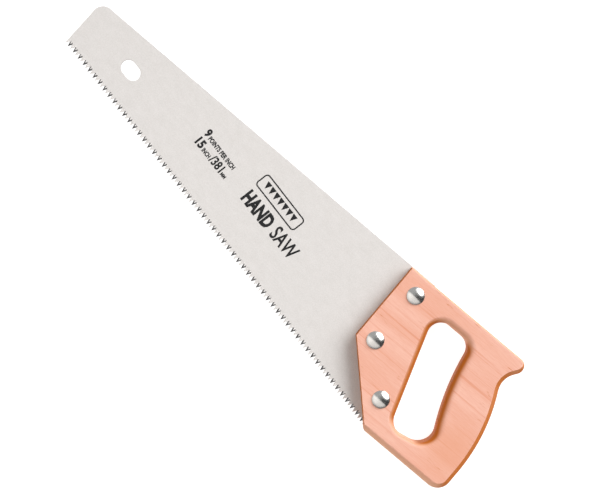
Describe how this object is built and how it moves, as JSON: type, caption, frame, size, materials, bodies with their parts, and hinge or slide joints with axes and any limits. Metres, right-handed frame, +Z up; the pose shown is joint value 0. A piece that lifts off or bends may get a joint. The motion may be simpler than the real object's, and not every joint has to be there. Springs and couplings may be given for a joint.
{
  "type": "hand saw",
  "caption": "Short fixed-handle hand saw: a tapering toothed steel blade with a hang hole, clamped in a closed wooden handle by domed fasteners.",
  "frame": {"origin": "bottom centre of the whole saw's box, on the flat lower cheek of the handle", "axes": "the saw lies flat: +X along the tooth line from the toe to the handle, +Y from the teeth to the back of the blade, +Z up out of the cheek with the domed nuts"},
  "size_m": [0.4642, 0.1312, 0.0252],
  "materials": {
    "blade_steel": "satin ground steel, fine brushing along the blade",
    "handle_wood": "clear-lacquered pinkish beech, grain parallel to the handle's top edge",
    "bright_metal": "polished nickel-bright plating",
    "etch_ink": "matt dark etched print on the blade's upper face"
  },
  "bodies": {
    "root": {"blade": "blade_steel", "handle": "handle_wood", "upper_nut": "bright_metal", "middle_nut": "bright_metal", "lower_nut": "bright_metal", "upper_screw": "bright_metal", "middle_screw": "bright_metal", "lower_screw": "bright_metal"}
  },
  "joints": []
}
